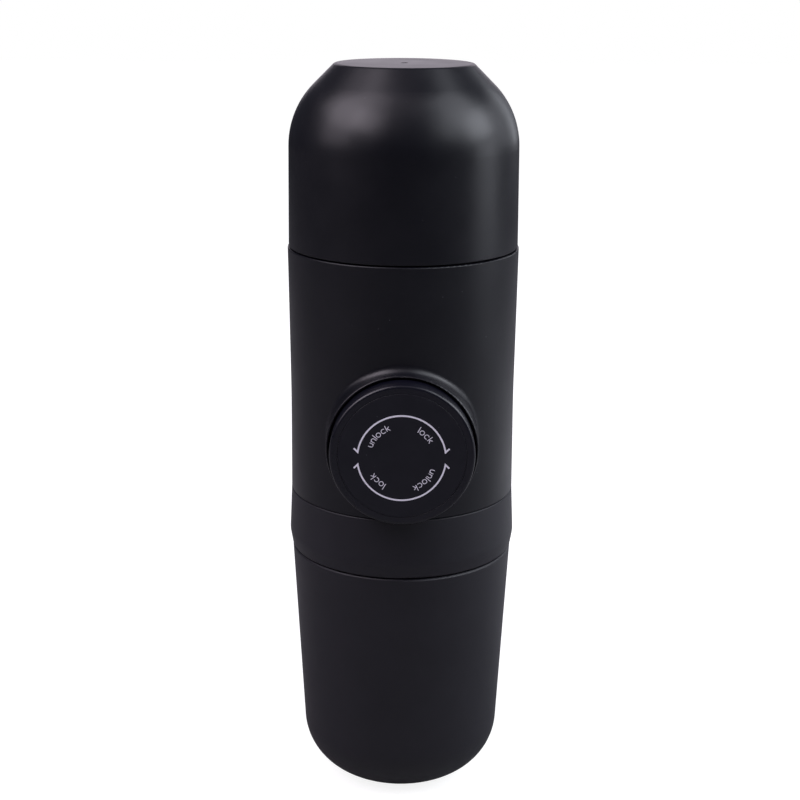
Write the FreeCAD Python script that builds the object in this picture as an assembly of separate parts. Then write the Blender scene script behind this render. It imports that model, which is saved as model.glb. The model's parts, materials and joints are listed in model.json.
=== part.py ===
import FreeCAD, Part
import math
import os

V = FreeCAD.Vector

# Handheld manual espresso maker, upright on its tank, in millimetres.
# +Z is up, the origin is the centre of the flat foot, and the knob faces -Y.

# Outer form: these five drive the rest, with body_r the casing's radius at its waist
total_height = 215.0
body_r = 32.6
tank_seam_z = 74.15
ring_height = 17.85
body_height = 72.0
seam = 0.35
seam_edge = 0.3

# General clearances
slip = 0.15
seat_gap = 0.3
running = 0.06

# How far a cutting shape reaches past what it cuts
over = 1.0

# Cup
cup_flare = 0.17
cup_taper = 0.4
cup_shoulder_drop = 12.75
cup_shoulder_round = 24.3
cup_disc_inset = 12.87
cup_disc_round = 1.2
cup_wall = 2.0
gate_dimple_r = 1.1
gate_dimple_depth = 0.35

# Body shell with its knob collar
shell_top_flare = 0.49
shell_bottom_flare = 0.22
shell_waist_rise = 28.1
shell_waist_round = 600.0
shell_wall = 2.25
collar_wall = 0.79
collar_reach = 3.5
collar_depth = 16.9
collar_fillet = 2.2
collar_edge = 0.4
collar_lift = 0.8

# Grip ring, the socket that the tank screws into
ring_top_flare = 0.22
ring_bulge_flare = 0.84
ring_bulge_rise = 4.2
ring_bulge_round = 7.0
ring_bottom_flare = 0.15
ring_flange = 4.0
ring_flange_lap = 1.5

# Water tank
tank_flare = 0.1
tank_taper = 3.9
tank_foot_round = 17.1
tank_rim_round = 0.55
tank_wall = 2.3
tank_neck_step = 3.3
tank_neck_wall = 2.2
tank_neck_rise = 11.25
tank_neck_drop = 4.5
tank_gasket_height = 2.0
tank_clear = 2.0

# Threads: the tank's and the outlet head's
tank_lead = 16.0
head_lead = 12.0
thread_starts = 4
thread_depth = 0.95
thread_root_share = 0.42
thread_crest_share = 0.24
thread_bury = 0.4
tank_thread_play = 0.45
head_thread_play = 0.55
male_arc = 60.0
female_arc = 70.0
thread_phase = 45.0
tank_thread_rise = 4.45
head_thread_drop = 4.0

# Brew chamber, the top of the chassis
neck_rise = 8.0
neck_wall = 3.8
chamber_depth = 27.0
chamber_floor = 4.0
plenum_height = 3.0
plenum_step = 2.4
cup_ring_rise = 4.0
cup_ring_r = 0.85
cup_ring_gap = 0.12

# Shower screen and the gasket over it
screen_thickness = 0.8
screen_hole_r = 0.7
screen_hole_pitch = 5.3
screen_first_ring_r = 6.5
screen_ring_pitch = 5.5
screen_hole_rings = 3
screw_boss_r = 4.0
chamber_gasket_lap = 1.5
chamber_gasket_height = 2.2

# Filter basket, mouth down, and the scoop stored in it
basket_wall = 0.6
basket_height = 21.3
basket_flange_lap = 2.0
basket_flange = 0.8
basket_hole_r = 0.5
basket_hole_pitch = 3.6
basket_hole_rings = 4
scoop_gap = 0.5
scoop_wall = 1.2
scoop_notch_r = 4.0
scoop_round = 2.0

# Outlet head, its spout and its cap
head_skirt_wall = 2.2
head_flange_lap = 2.2
head_flange_round = 1.2
head_flange = 4.3
head_gasket_height = 1.6
head_gasket_width = 4.9
head_roof = 2.4
head_boss_r = 7.5
head_boss_height = 2.0
head_scallops = 24
head_scallop_r = 1.1
funnel_r = 16.0
funnel_height = 4.4
spout_r = 4.5
spout_bore_r = 2.3
spout_height = 3.0
cap_wall = 1.5
cap_travel = 6.5
cap_clear = 1.0
cap_dome_round = 1.0

# Knob and pump, along the pump axis; depths are measured from the Z axis towards the front
knob_r = 19.85
knob_proud = 5.5
knob_length = 22.0
knob_edge = 0.85
knob_wall = 2.05
knob_inner_round = 1.0
knob_plate = 3.2
knob_disc_rim = 2.35
knob_disc_gap = 0.05
knob_recess_edge = 0.08
knob_disc_thickness = 0.6
knob_disc_proud = 0.08
knob_disc_edge = 0.1
stroke_loss = 1.3
knob_twist = 45.0
rod_r = 5.0
lug_r = 8.2
lug_root = 1.0
lug_thickness = 2.0
lug_angle = 30.0
lug_side_gap = 5.0
tower_bore_r = 8.6
tower_r = 10.5
ledge_thickness = 2.0
stop_ring_thickness = 1.7
stop_ring_bore_r = 5.9
bore_r = 10.0
liner_wall = 0.8
barrel_r = 13.0
barrel_end_wall = 2.5
cover_inset = 6.2
cover_disc = 4.0
cover_r = 16.2
flange_depth = 6.0
cover_screw_circle_r = 14.3
cover_screw_count = 4
rod_seal_r = 7.5
rod_seal_depth = 1.6
rod_web = 1.2
piston_head_length = 7.3
piston_ring_gap = 0.05
piston_ring_r = 0.9
pin_r = 2.5
pin_groove = 0.6
pin_end = 2.2
ring_spacing_share = 0.47
clip_thickness = 0.8
clip_r = 4.2
cylinder_floor_gap = 3.0

# Chassis posts and long screws
post_r = 3.6
post_inset = 6.7
post_angles = (-20.0, 40.0, 140.0, 200.0)
base_disc_height = 2.75
rib_thickness = 3.0
rib_bury = 1.0
tie_screw_r = 1.25
tie_screw_head_r = 2.6
tie_screw_head = 1.6
tie_screw_reach = 3.3

# Valve column behind the cylinder
column_r = 6.5
column_web = 1.45
valve_bore_r = 3.65
port_r = 1.6
valve_ball_r = 2.2
valve_seat_rise = 6.5
valve_seat_height = 3.0
inlet_bore_drop = 4.3
delivery_seat_rise = 5.2
delivery_spring_room = 8.5
delivery_plug_height = 4.0
valve_wire_r = 0.25
valve_coil_r = 1.5
ball_gap = 0.03

# Base plate, vent, intake tube and strainer
plate_gap = 0.2
plate_lap = 2.4
vent_inset = 12.0
vent_stem_r = 1.4
vent_flap_r = 4.0
vent_flap = 0.9
tube_r = 3.0
tube_wall = 1.0
tube_bottom_z = 9.5
tube_collar_r = 3.5
tube_collar = 3.0
strainer_r = 4.2
strainer_height = 6.2
strainer_floor = 1.2
strainer_slots = 6
strainer_slot = 1.0

# Springs
piston_wire_r = 0.6
piston_coil_r = 11.6
piston_coil_turns = 6
spring_end_gap = 0.3
valve_coil_pitch = 1.05

# Screws
cover_screw_r = 1.0
cover_screw_head_r = 1.7
cover_screw_head = 1.2
cover_screw_length = 7.0
cover_screw_spare = 1.0
knob_screw_r = 1.5
knob_screw_head_r = 3.2
knob_screw_head = 1.1
knob_screw_length = 9.0
shower_screw_r = 1.45
shower_screw_head_r = 2.8
shower_screw_head = 1.4
shower_screw_length = 5.0
knob_screw_spare = 1.0
drive_share = 0.35
drive_floor_share = 0.35
head_round_share = 0.25

# Worked-out radii that several pieces share
cup_rim_r = body_r + cup_flare
cup_shoulder_r = cup_rim_r - cup_taper
cup_disc_r = cup_shoulder_r - cup_disc_inset
shell_top_r = body_r + shell_top_flare
shell_bottom_r = body_r + shell_bottom_flare
ring_top_r = body_r + ring_top_flare
ring_bulge_r = body_r + ring_bulge_flare
ring_bottom_r = body_r + ring_bottom_flare
tank_top_r = body_r + tank_flare
tank_foot_corner_r = tank_top_r - tank_taper
shell_bore_r = body_r - shell_wall
insert_r = shell_bore_r - slip
chamber_bore_r = insert_r - neck_wall
plenum_r = chamber_bore_r - plenum_step
post_circle_r = insert_r - post_inset
tank_neck_r = tank_top_r - tank_neck_step
ring_bore_r = tank_neck_r + thread_depth + tank_thread_play
plate_r = tank_neck_r - tank_neck_wall - plate_gap
vent_y = vent_inset - plate_r
ring_flange_bore_r = plate_r - ring_flange_lap
head_flange_r = chamber_bore_r + head_flange_lap
knob_bore_r = knob_r + seat_gap + running
collar_r = knob_bore_r + collar_wall
knob_disc_r = knob_r - knob_disc_rim

# Worked-out levels that several pieces share
ring_seam_z = tank_seam_z + ring_height
cup_seam_z = ring_seam_z + body_height
cup_rim_z = cup_seam_z + seam / 2
cup_shoulder_z = total_height - cup_shoulder_drop
shell_top_z = cup_seam_z - seam / 2
shell_bottom_z = ring_seam_z + seam / 2
shell_waist_z = ring_seam_z + shell_waist_rise
ring_top_z = ring_seam_z - seam / 2
ring_flange_z = ring_seam_z - ring_flange
plate_bottom_z = ring_flange_z - plate_lap
ring_bottom_z = tank_seam_z + seam / 2
ring_bulge_z = tank_seam_z + ring_bulge_rise
tank_top_z = tank_seam_z - seam / 2
tank_neck_top_z = tank_seam_z + tank_neck_rise
tank_thread_z = tank_seam_z + tank_thread_rise
head_thread_z = cup_seam_z - head_thread_drop
neck_top_z = cup_seam_z + neck_rise
cup_ring_z = cup_seam_z + cup_ring_rise
chamber_bottom_z = cup_seam_z - chamber_depth
chamber_floor_z = chamber_bottom_z + chamber_floor
screen_seat_z = chamber_floor_z + plenum_height
pump_axis_z = ring_seam_z + collar_r + collar_lift
valve_seat_z = ring_seam_z + valve_seat_rise
inlet_bore_top_z = pump_axis_z - inlet_bore_drop
delivery_seat_z = pump_axis_z + delivery_seat_rise
delivery_plug_z = delivery_seat_z + delivery_spring_room

# Worked-out sizes of the basket and the head around it
skirt_r = chamber_bore_r - thread_depth - head_thread_play
skirt_bore_r = skirt_r - head_skirt_wall
basket_r = skirt_bore_r - slip - seat_gap / 2
basket_flange_r = basket_r + basket_flange_lap
chamber_gasket_bore_r = basket_flange_r - chamber_gasket_lap
gasket_z = screen_seat_z + screen_thickness
basket_rim_z = gasket_z + chamber_gasket_height + seat_gap
basket_base_z = basket_rim_z + basket_height
skirt_bottom_z = basket_rim_z + basket_flange + seat_gap
head_gasket_z = basket_base_z + seat_gap
head_roof_z = head_gasket_z + head_gasket_height + seat_gap
flange_z = neck_top_z + seat_gap
funnel_top_z = head_roof_z + funnel_height
flange_top_z = flange_z + head_flange
head_top_z = flange_top_z + head_roof
boss_top_z = head_top_z + head_boss_height
spout_top_z = boss_top_z + spout_height
cap_bottom_z = head_top_z + seat_gap
cap_ceiling_z = spout_top_z + seat_gap
cap_top_z = cap_ceiling_z + cap_wall
cup_ceiling_z = total_height - cup_wall
tank_travel_end = tank_neck_top_z + seat_gap + tank_gasket_height + tank_clear
strainer_z = tube_bottom_z - strainer_floor - seat_gap
tank_travel = tank_travel_end - strainer_z
head_travel = cup_ceiling_z - cap_top_z - cap_travel - cap_clear

# Worked-out depths along the pump axis; the valve column stands just behind the cylinder
collar_front = body_r + collar_reach
well_back = collar_front - collar_depth
knob_front = collar_front + knob_proud
knob_back = knob_front - knob_length
knob_plate_back = knob_front - knob_plate
cover_back = well_back - cover_inset
cover_front = cover_back + cover_disc
piston_travel = body_r / 2 - stroke_loss
piston_front = cover_back - piston_travel - seat_gap - clip_thickness
piston_back = piston_front - piston_head_length
cylinder_end = piston_back - cylinder_floor_gap
barrel_end = cylinder_end - barrel_end_wall
column_y = valve_bore_r + column_web - cylinder_end
lug_pocket = cover_back + rod_seal_depth + rod_web
lug_back = lug_pocket + seat_gap
lug_front = lug_back + lug_thickness
ledge_back = lug_front + seat_gap
tower_front = lug_front + piston_travel + seat_gap
gate_angle = lug_angle + knob_twist + 2 * lug_side_gap


def outline(corners):
    """Closed wire in the XZ plane. A corner is (r, z), or (r, z, radius) where it is rounded."""
    points = [V(corner[0], 0, corner[1]) for corner in corners]
    bends = []
    for index, corner in enumerate(corners):
        point = points[index]
        if len(corner) == 2:
            bends.append((point, None, point))
            continue
        back = (points[index - 1] - point).normalize()
        ahead = (points[(index + 1) % len(points)] - point).normalize()
        half = back.getAngle(ahead) / 2
        reach = corner[2] / math.tan(half)
        inward = (back + ahead).normalize()
        middle = point + inward * (corner[2] / math.sin(half) - corner[2])
        bends.append((point + back * reach, middle, point + ahead * reach))
    edges = []
    for index, (first, middle, last) in enumerate(bends):
        if middle is not None:
            edges.append(Part.Arc(first, middle, last).toShape())
        next_first = bends[(index + 1) % len(bends)][0]
        if last.distanceToPoint(next_first) > 1e-6:
            edges.append(Part.LineSegment(last, next_first).toShape())
    return Part.Wire(edges)


def revolved(corners, angle=360.0):
    """Solid of revolution about Z, starting from the +X side."""
    return Part.Face(outline(corners)).revolve(V(0, 0, 0), V(0, 0, 1), angle)


def ring(inner_r, outer_r, low, high):
    """Plain tube about Z between two levels."""
    return revolved([(inner_r, low), (outer_r, low), (outer_r, high), (inner_r, high)])


def rod(radius, low, high, x=0.0, y=0.0):
    """Upright cylinder between two levels."""
    return Part.makeCylinder(radius, high - low, V(x, y, low))


def block(x_size, y_low, y_high, z_low, z_high):
    """Box centred on X = 0."""
    return Part.makeBox(x_size, y_high - y_low, z_high - z_low, V(-x_size / 2, y_low, z_low))


def turned(shape, angle):
    """Copy of a shape, turned about Z."""
    copy = shape.copy()
    copy.rotate(V(0, 0, 0), V(0, 0, 1), angle)
    return copy


def spread(shape, count, first=0.0):
    """Copies of a shape at even angles about Z."""
    return [turned(shape, first + index * 360.0 / count) for index in range(count)]


def on_pump_axis(shape):
    """A shape built about Z, laid along the pump axis: its +Z becomes the front."""
    copy = shape.copy()
    copy.rotate(V(0, 0, 0), V(1, 0, 0), 90)
    copy.translate(V(0, 0, pump_axis_z))
    return copy


def screw(shank_r, length, head_r, head, seat=0.0):
    """Socket screw about Z: the head's underside at the seat level, the shank below it."""
    rounding = head * head_round_share
    cap = revolved([(0, seat), (head_r, seat), (head_r, seat + head, rounding), (0, seat + head)])
    body = rod(shank_r, seat - length, seat).fuse(cap)
    drive = rod(drive_share * head_r, seat + head * drive_floor_share, seat + head)
    return body.cut(drive).removeSplitter()


def thread_ridges(wall_r, crest_r, middle_z, arc, lead):
    """Short helical ridges, one for each start, on a wall of radius wall_r, crested at crest_r."""
    pitch = lead / thread_starts
    root = pitch * thread_root_share
    crest = pitch * thread_crest_share
    depth = crest_r - wall_r
    buried_r = wall_r - math.copysign(thread_bury, depth)
    rise = lead * arc / 360.0
    path = Part.makeHelix(lead, rise, wall_r)
    section = Part.makePolygon([
        V(buried_r, 0, -root / 2),
        V(wall_r, 0, -root / 2),
        V(crest_r, 0, -crest / 2),
        V(crest_r, 0, crest / 2),
        V(wall_r, 0, root / 2),
        V(buried_r, 0, root / 2),
        V(buried_r, 0, -root / 2),
    ])
    ridge = path.makePipeShell([section], True, True)
    ridge.translate(V(0, 0, middle_z - rise / 2))
    return spread(ridge, thread_starts, thread_phase - arc / 2)


def circle_arc(start, tangent, end):
    """Arc of under half a circle from start, along tangent, to end."""
    chord = end - start
    side = tangent.cross(chord).cross(tangent).normalize()
    radius = chord.dot(chord) / (2 * chord.dot(side))
    centre = start + side * radius
    middle = centre + ((start + end) * 0.5 - centre).normalize() * radius
    return Part.Arc(start, middle, end).toShape()


def biarc(start, start_tangent, end, end_tangent):
    """Two arcs that join start to end and keep both tangents."""
    span = end - start
    a = 2 * (1 - start_tangent.dot(end_tangent))
    b = 2 * span.dot(start_tangent + end_tangent)
    reach = (-b + math.sqrt(b * b + 4 * a * span.dot(span))) / (2 * a)
    joint = (start + start_tangent * reach + end - end_tangent * reach) * 0.5
    joint_tangent = ((end - end_tangent * reach) - (start + start_tangent * reach)).normalize()
    return [circle_arc(start, start_tangent, joint), circle_arc(joint, joint_tangent, end)]


def coil(name, coil_r, wire_r, low, high, turns):
    """Compression spring about Z between two levels, as one tube; prints its least gap to itself."""
    low_centre = low + wire_r
    high_centre = high - wire_r
    climb = (high_centre - low_centre) / turns

    def place(turn):
        angle = 2 * math.pi * turn
        return V(coil_r * math.cos(angle), coil_r * math.sin(angle), low_centre + climb * turn)

    def heading(turn):
        angle = 2 * math.pi * turn
        around = 2 * math.pi * coil_r
        return V(-around * math.sin(angle), around * math.cos(angle), climb).normalize()

    edges = []
    for half_turn in range(int(round(2 * turns))):
        first = half_turn / 2
        last = first + 0.5
        edges += biarc(place(first), heading(first), place(last), heading(last))
    section = Part.Wire(Part.makeCircle(wire_r, place(0), heading(0)))
    spring = Part.Wire(edges).makePipeShell([section], True, False)
    steps = 48
    points = [place(step / steps) for step in range(int(turns * steps) + 1)]
    least = min(
        points[first].distanceToPoint(points[second])
        for first in range(len(points))
        for second in range(first + steps // 2, len(points))
    )
    print(name, "least gap to itself, mm:", round(least - 2 * wire_r, 2))
    return spring


def cup():
    """Drinking cup, upside down as the top cover."""
    slope = (cup_rim_r - cup_shoulder_r) / (cup_shoulder_z - cup_rim_z)
    inner_shoulder_r = cup_shoulder_r - cup_wall
    cone = math.atan2(cup_shoulder_r - cup_disc_r, total_height - cup_shoulder_z)
    inner_shoulder_z = cup_shoulder_z - cup_wall * math.tan(cone / 2)
    inner_disc_r = cup_disc_r - cup_wall * math.tan((math.pi / 2 - cone) / 2)
    inner_shoulder_r = inner_shoulder_r + slope * (cup_shoulder_z - inner_shoulder_z)
    body = revolved([
        (cup_rim_r - cup_wall, cup_rim_z, seam_edge),
        (cup_rim_r, cup_rim_z, seam_edge),
        (cup_shoulder_r, cup_shoulder_z, cup_shoulder_round),
        (cup_disc_r, total_height, cup_disc_round),
        (0, total_height),
        (0, cup_ceiling_z),
        (inner_disc_r, cup_ceiling_z, cup_disc_round),
        (inner_shoulder_r, inner_shoulder_z, cup_shoulder_round - cup_wall),
    ])
    return body.cut(rod(gate_dimple_r, total_height - gate_dimple_depth, total_height + over))


def body_shell():
    """Outer casing with the round collar that the knob sinks into."""
    skirt_z = pump_axis_z - collar_r - 3 * collar_fillet
    slope = (shell_bottom_r - body_r) / (shell_waist_z - shell_bottom_z)
    skirt_r_low = shell_bottom_r + slope * (shell_bottom_z - skirt_z)
    outside = revolved([
        (0, skirt_z),
        (skirt_r_low, skirt_z),
        (body_r, shell_waist_z, shell_waist_round),
        (shell_top_r, shell_top_z, seam_edge),
        (0, shell_top_z),
    ])
    collar = on_pump_axis(rod(collar_r, well_back, collar_front))
    shell = outside.fuse(collar)
    joint_edges = [edge for edge in shell.Edges if is_collar_joint(edge)]
    shell = shell.makeFillet(collar_fillet, joint_edges)
    front_edges = [edge for edge in shell.Edges if is_collar_front(edge)]
    shell = shell.makeFillet(collar_edge, front_edges)
    hollow = rod(shell_bore_r, skirt_z - over, shell_top_z + over).cut(collar)
    well = on_pump_axis(revolved([
        (0, 0),
        (knob_bore_r, 0),
        (knob_bore_r, collar_front - collar_edge),
        (knob_bore_r + collar_edge, collar_front),
        (knob_bore_r + collar_edge, collar_front + over),
        (0, collar_front + over),
    ]))
    below = rod(2 * shell_bottom_r, skirt_z - over, shell_bottom_z)
    shell = shell.cut(hollow).cut(well).cut(below)
    return shell


def is_collar_joint(edge):
    """True for the edges where the collar's side meets the casing."""
    middle = edge.valueAt((edge.FirstParameter + edge.LastParameter) / 2)
    from_axis = math.hypot(middle.x, middle.z - pump_axis_z)
    from_centre = math.hypot(middle.x, middle.y)
    on_side = abs(from_axis - collar_r) < 0.01
    on_casing = shell_bore_r < from_centre < body_r + over
    return on_side and on_casing and middle.y < 0 and len(edge.Vertexes) < 3 and not is_straight(edge)


def is_collar_front(edge):
    """True for the round edge at the front of the collar."""
    middle = edge.valueAt((edge.FirstParameter + edge.LastParameter) / 2)
    return abs(middle.y + collar_front) < 0.01 and not is_straight(edge)


def is_straight(edge):
    """True for a straight edge."""
    return isinstance(edge.Curve, (Part.Line, Part.LineSegment))


def grip_ring():
    """Ring under the body: the tank's threaded socket, with a flange that the base plate clamps."""
    body = revolved([
        (ring_bore_r, ring_bottom_z, seam_edge),
        (ring_bottom_r, ring_bottom_z, 2 * seam_edge),
        (ring_bulge_r, ring_bulge_z, ring_bulge_round),
        (ring_top_r, ring_top_z, seam_edge),
        (ring_flange_bore_r, ring_top_z),
        (ring_flange_bore_r, ring_flange_z),
        (ring_bore_r, ring_flange_z),
    ])
    crest_r = ring_bore_r - thread_depth
    return body.fuse(thread_ridges(ring_bore_r, crest_r, tank_thread_z, female_arc, tank_lead))


def water_tank():
    """Tapering tank with a rounded bottom, a flat foot and a threaded neck."""
    draft = (tank_top_r - tank_foot_corner_r) / tank_top_z
    neck_bore_r = tank_neck_r - tank_neck_wall
    step_z = tank_top_z - tank_neck_drop
    inner_top_r = tank_foot_corner_r + draft * step_z - tank_wall
    inner_foot_r = tank_foot_corner_r + draft * tank_wall - tank_wall
    body = revolved([
        (0, 0),
        (tank_foot_corner_r, 0, tank_foot_round),
        (tank_top_r, tank_top_z, tank_rim_round),
        (tank_neck_r, tank_top_z),
        (tank_neck_r, tank_neck_top_z, seam_edge),
        (neck_bore_r, tank_neck_top_z, seam_edge),
        (neck_bore_r, tank_top_z - tank_wall),
        (inner_top_r, step_z - tank_wall),
        (inner_foot_r, tank_wall, tank_foot_round - tank_wall),
        (0, tank_wall),
    ])
    crest_r = tank_neck_r + thread_depth
    above_female = tank_thread_z + tank_lead / thread_starts / 2
    return body.fuse(thread_ridges(tank_neck_r, crest_r, above_female, male_arc, tank_lead))


def tank_gasket():
    """Flat ring between the tank's neck and the socket's flange."""
    inner_r = tank_neck_r - tank_neck_wall + slip
    low = tank_neck_top_z + seat_gap
    return ring(inner_r, tank_neck_r - slip, low, low + tank_gasket_height)


def brew_chamber():
    """Chassis top: the chamber, its threaded bore and the neck that the cup pushes onto."""
    groove_r = cup_ring_centre_r() - cup_ring_r - running
    half_groove = cup_ring_r + running
    body = revolved([
        (0, chamber_bottom_z),
        (insert_r, chamber_bottom_z),
        (insert_r, cup_ring_z - half_groove),
        (groove_r, cup_ring_z - half_groove),
        (groove_r, cup_ring_z + half_groove),
        (insert_r, cup_ring_z + half_groove),
        (insert_r, neck_top_z, 2 * seam_edge),
        (chamber_bore_r, neck_top_z, seam_edge),
        (chamber_bore_r, screen_seat_z),
        (plenum_r, screen_seat_z),
        (plenum_r, chamber_floor_z),
        (screw_boss_r, chamber_floor_z),
        (screw_boss_r, screen_seat_z),
        (0, screen_seat_z),
    ])
    crest_r = chamber_bore_r - thread_depth
    body = body.fuse(thread_ridges(chamber_bore_r, crest_r, head_thread_z, female_arc, head_lead))
    body = body.cut(rod(port_r, chamber_bottom_z - over, chamber_floor_z + over, 0, column_y))
    screw_hole_z = screen_seat_z - shower_screw_length
    body = body.cut(rod(shower_screw_r + running, screw_hole_z, screen_seat_z + over))
    for x, y in post_places():
        screw_end_z = chamber_bottom_z + tie_screw_reach
        body = body.cut(rod(tie_screw_r + running, chamber_bottom_z - over, screw_end_z, x, y))
    return body


def cup_ring_centre_r():
    """Radius of the O-ring's middle line: its outside just misses the cup's wall."""
    slope = (cup_rim_r - cup_shoulder_r) / (cup_shoulder_z - cup_rim_z)
    cup_inner_r = cup_rim_r - cup_wall - slope * (cup_ring_z - cup_rim_z)
    return cup_inner_r - cup_ring_gap - cup_ring_r


def cup_o_ring():
    """O-ring on the neck that holds the cup."""
    return Part.makeTorus(cup_ring_centre_r(), cup_ring_r, V(0, 0, cup_ring_z))


def post_places():
    """Centres of the chassis posts and their long screws."""
    return [
        (post_circle_r * math.cos(math.radians(angle)), post_circle_r * math.sin(math.radians(angle)))
        for angle in post_angles
    ]


def shower_screen():
    """Perforated disc that spreads the water over the coffee."""
    disc = rod(chamber_bore_r - seat_gap, screen_seat_z, gasket_z)
    disc = disc.cut(rod(shower_screw_r + running, screen_seat_z - over, gasket_z + over))
    for ring_number in range(screen_hole_rings):
        ring_r = screen_first_ring_r + ring_number * screen_ring_pitch
        count = round(2 * math.pi * ring_r / screen_hole_pitch)
        hole = rod(screen_hole_r, screen_seat_z - over, gasket_z + over, ring_r)
        disc = disc.cut(spread(hole, count))
    return disc


def shower_screw():
    """Screw that holds the shower screen to the chamber floor."""
    return screw(shower_screw_r, shower_screw_length - slip, shower_screw_head_r, shower_screw_head, gasket_z)


def chamber_gasket():
    """Ring that the basket's rim seals on."""
    top_z = gasket_z + chamber_gasket_height
    return revolved([
        (chamber_gasket_bore_r, gasket_z),
        (chamber_bore_r - seat_gap, gasket_z),
        (chamber_bore_r - seat_gap, top_z, seam_edge),
        (chamber_gasket_bore_r, top_z, seam_edge),
    ])


def filter_basket():
    """Thin steel basket, mouth down, its base full of fine holes."""
    top_z = basket_base_z
    inner_r = basket_r - basket_wall
    body = revolved([
        (inner_r, basket_rim_z),
        (basket_flange_r, basket_rim_z),
        (basket_flange_r, basket_rim_z + basket_flange, seam_edge),
        (basket_r, basket_rim_z + basket_flange),
        (basket_r, top_z, 2 * basket_wall),
        (0, top_z),
        (0, top_z - basket_wall),
        (inner_r, top_z - basket_wall, basket_wall),
    ])
    low = top_z - basket_wall - over
    high = top_z + over
    holes = [rod(basket_hole_r, low, high)]
    for ring_number in range(1, basket_hole_rings + 1):
        hole = rod(basket_hole_r, low, high, ring_number * basket_hole_pitch)
        holes += spread(hole, 6 * ring_number)
    return body.cut(holes)


def scoop():
    """Coffee scoop and tamper, stored in the basket with its mouth down."""
    top_z = basket_base_z - basket_wall - seat_gap
    outer_r = basket_r - basket_wall - scoop_gap
    body = revolved([
        (outer_r - scoop_wall, basket_rim_z),
        (outer_r, basket_rim_z),
        (outer_r, top_z, scoop_round),
        (0, top_z),
        (0, top_z - scoop_wall),
        (outer_r - scoop_wall, top_z - scoop_wall, scoop_wall),
    ])
    reach = outer_r + over
    notch = Part.makeCylinder(scoop_notch_r, 2 * reach, V(-reach, 0, basket_rim_z), V(1, 0, 0))
    return body.cut(notch)


def outlet_head():
    """Head that holds the basket and screws into the chamber; the coffee runs out of its middle."""
    slope_in_r = head_boss_r + 3 * seam_edge
    body = revolved([
        (skirt_bore_r, skirt_bottom_z, seam_edge),
        (skirt_r, skirt_bottom_z, seam_edge),
        (skirt_r, flange_z),
        (head_flange_r, flange_z, seam_edge),
        (head_flange_r, flange_top_z, head_flange_round),
        (slope_in_r, head_top_z),
        (head_boss_r, head_top_z),
        (head_boss_r, boss_top_z, seam_edge),
        (spout_r + slip, boss_top_z),
        (spout_r + slip, funnel_top_z),
        (spout_bore_r, funnel_top_z),
        (funnel_r, head_roof_z),
        (skirt_bore_r, head_roof_z),
    ])
    crest_r = skirt_r + thread_depth
    above_female = head_thread_z + head_lead / thread_starts / 2
    body = body.fuse(thread_ridges(skirt_r, crest_r, above_female, male_arc, head_lead))
    scallop_x = head_flange_r + head_scallop_r / 2
    scallop = rod(head_scallop_r, flange_z - over, flange_top_z + over, scallop_x)
    return body.cut(spread(scallop, head_scallops))


def head_gasket():
    """Ring between the basket's base and the head."""
    outer_r = skirt_bore_r - seat_gap
    return ring(outer_r - head_gasket_width, outer_r, head_gasket_z, head_gasket_z + head_gasket_height)


def outlet_spout():
    """Short metal spout pressed into the head."""
    return revolved([
        (spout_bore_r, funnel_top_z + running),
        (spout_r, funnel_top_z + running),
        (spout_r, spout_top_z, 2 * seam_edge),
        (spout_bore_r, spout_top_z, seam_edge),
    ])


def outlet_cap():
    """Small cap over the spout."""
    inner_r = head_boss_r + seat_gap
    outer_r = inner_r + cap_wall
    return revolved([
        (inner_r, cap_bottom_z),
        (outer_r, cap_bottom_z),
        (outer_r, cap_top_z, cap_dome_round),
        (0, cap_top_z),
        (0, cap_ceiling_z),
        (inner_r, cap_ceiling_z),
    ])


def knob_cap():
    """Hollow piston knob with a shallow recess for its face disc."""
    recess_r = knob_disc_r + knob_disc_gap
    recess = knob_front - knob_disc_thickness
    head_seat = recess - knob_screw_head - running
    inner_r = knob_r - knob_wall
    body = revolved([
        (knob_screw_r + running, knob_plate_back),
        (inner_r, knob_plate_back, knob_inner_round),
        (inner_r, knob_back, seam_edge),
        (knob_r, knob_back, seam_edge),
        (knob_r, knob_front, knob_edge),
        (recess_r, knob_front, knob_recess_edge),
        (recess_r, recess),
        (knob_screw_head_r + slip, recess),
        (knob_screw_head_r + slip, head_seat),
        (knob_screw_r + running, head_seat),
    ])
    return on_pump_axis(body)


def knob_face_disc():
    """Thin disc let into the knob's face, with the turn marks printed on it."""
    low = knob_front - knob_disc_thickness
    high = knob_front + knob_disc_proud
    corners = [(0, low), (knob_disc_r, low), (knob_disc_r, high, knob_disc_edge), (0, high)]
    return on_pump_axis(revolved(corners))


def knob_screw():
    """Screw that holds the knob on the rod, under the face disc."""
    seat = knob_front - knob_disc_thickness - knob_screw_head - running
    return on_pump_axis(screw(knob_screw_r, knob_screw_length, knob_screw_head_r, knob_screw_head, seat))


def piston_rod():
    """Rod from knob to piston, with two bayonet lugs and a pin that the piston turns on."""
    pin_back = piston_back - pin_end
    shoulder = piston_front + running
    groove_back = piston_back - running - clip_thickness - running
    body = revolved([
        (0, pin_back),
        (pin_r, pin_back, seam_edge),
        (pin_r, groove_back),
        (pin_r - pin_groove, groove_back),
        (pin_r - pin_groove, piston_back - running),
        (pin_r, piston_back - running),
        (pin_r, shoulder),
        (rod_r, shoulder, seam_edge),
        (rod_r, knob_plate_back),
        (0, knob_plate_back),
    ])
    root_r = rod_r - lug_root
    corners = [(root_r, lug_back), (lug_r, lug_back), (lug_r, lug_front), (root_r, lug_front)]
    lug = revolved(corners, lug_angle)
    body = body.fuse(spread(lug, 2, -lug_angle / 2))
    head_depth = knob_disc_thickness + knob_screw_head
    hole_end = knob_front - head_depth - knob_screw_length - knob_screw_spare
    body = body.cut(rod(knob_screw_r + running, hole_end, knob_plate_back + over))
    return on_pump_axis(body)


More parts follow.
